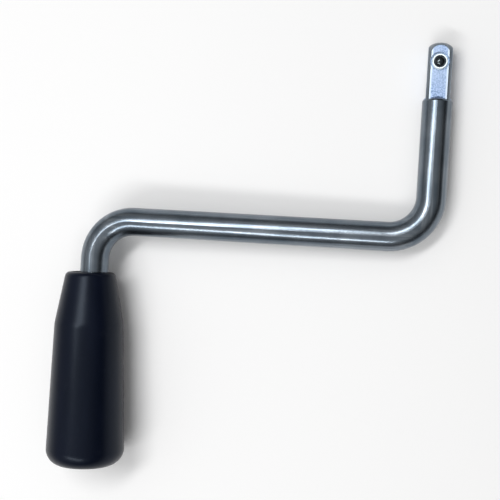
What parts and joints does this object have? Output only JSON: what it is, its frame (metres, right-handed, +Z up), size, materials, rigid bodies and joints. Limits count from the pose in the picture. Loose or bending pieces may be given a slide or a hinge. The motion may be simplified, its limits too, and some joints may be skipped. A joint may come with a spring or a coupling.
{
  "type": "crank handle",
  "caption": "Z-shaped crank of round steel bar with a square drive and detent ball at one end and a revolving black moulded grip at the other.",
  "frame": {"origin": "on the floor under the middle of the part's box, with the crank lying as it comes to rest on the grip's side and the end of the shank", "axes": "+Z up; +Y towards the square drive, close to the drive's axis; +X from the grip's side to the drive's side, close to the arm"},
  "size_m": [0.2156, 0.2444, 0.0443],
  "materials": {
    "plated_steel": "bright zinc plate with fine drawn lines, satin on the milled square",
    "ball_steel": "polished hardened steel",
    "spring_steel": "oiled spring steel",
    "washer_steel": "zinc plated",
    "grip_plastic": "black moulded plastic, satin",
    "cap_plastic": "black moulded plastic, satin"
  },
  "bodies": {
    "crank": {"crank_bar": "plated_steel", "detent_spring": "spring_steel", "end_washer": "washer_steel", "retaining_ring": "spring_steel"},
    "grip": {"grip_body": "grip_plastic", "end_cap": "cap_plastic"},
    "detent": {"detent_ball": "ball_steel"}
  },
  "joints": [
    {"name": "grip_spin", "type": "hinge", "parent": "crank", "child": "grip", "pos_m": [-0.08637, -0.08959, 0.02128], "axis": [-0.0292, 0.9989, -0.0371], "continuous": true},
    {"name": "detent_press", "type": "slide", "parent": "crank", "child": "detent", "axis": [-0.0352, -0.0372, -0.9987], "range_m": [0, 0.0019], "stiffness_N_per_m": 1500, "springref_m": -0.002, "deforming": ["detent_spring"]}
  ]
}
